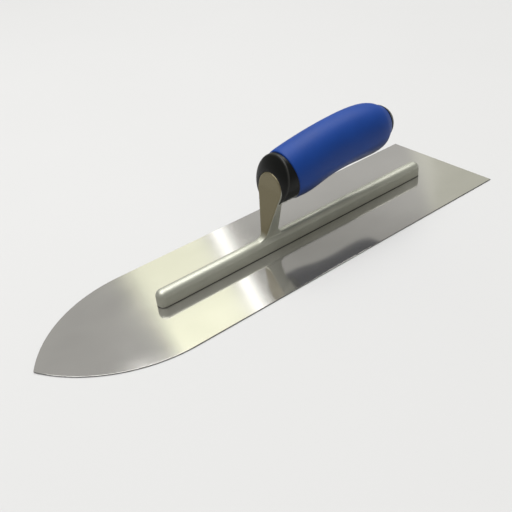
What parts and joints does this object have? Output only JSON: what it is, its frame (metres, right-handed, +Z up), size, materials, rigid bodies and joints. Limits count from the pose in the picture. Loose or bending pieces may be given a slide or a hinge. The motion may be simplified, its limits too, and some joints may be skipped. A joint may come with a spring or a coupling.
{
  "type": "pointed flooring trowel",
  "caption": "Pointed steel finishing trowel: long flat blade, riveted cast spine and post, soft-grip handle above and parallel to the blade.",
  "frame": {"origin": "middle of the blade's length and width, on the working face that rests on the floor", "axes": "+X towards the pointed nose, +Z up towards the handle, +Y across the blade"},
  "size_m": [0.405, 0.11, 0.0878],
  "materials": {
    "stainless": "fine cross-brushed, half mirror",
    "casting": "satin, tumbled casting",
    "rivet_steel": "ground flush",
    "black_plastic": "satin moulded",
    "zinc_steel": "bright zinc plate",
    "blue_rubber": "matte soft-touch"
  },
  "bodies": {
    "root": {"blade": "stainless", "mounting": "casting", "blade_rivets": "rivet_steel", "front_collar": "black_plastic", "tang_rod": "zinc_steel", "handle_core": "black_plastic", "grip_sleeve": "blue_rubber", "washer": "zinc_steel", "nut": "zinc_steel", "end_cap": "black_plastic"}
  },
  "joints": []
}
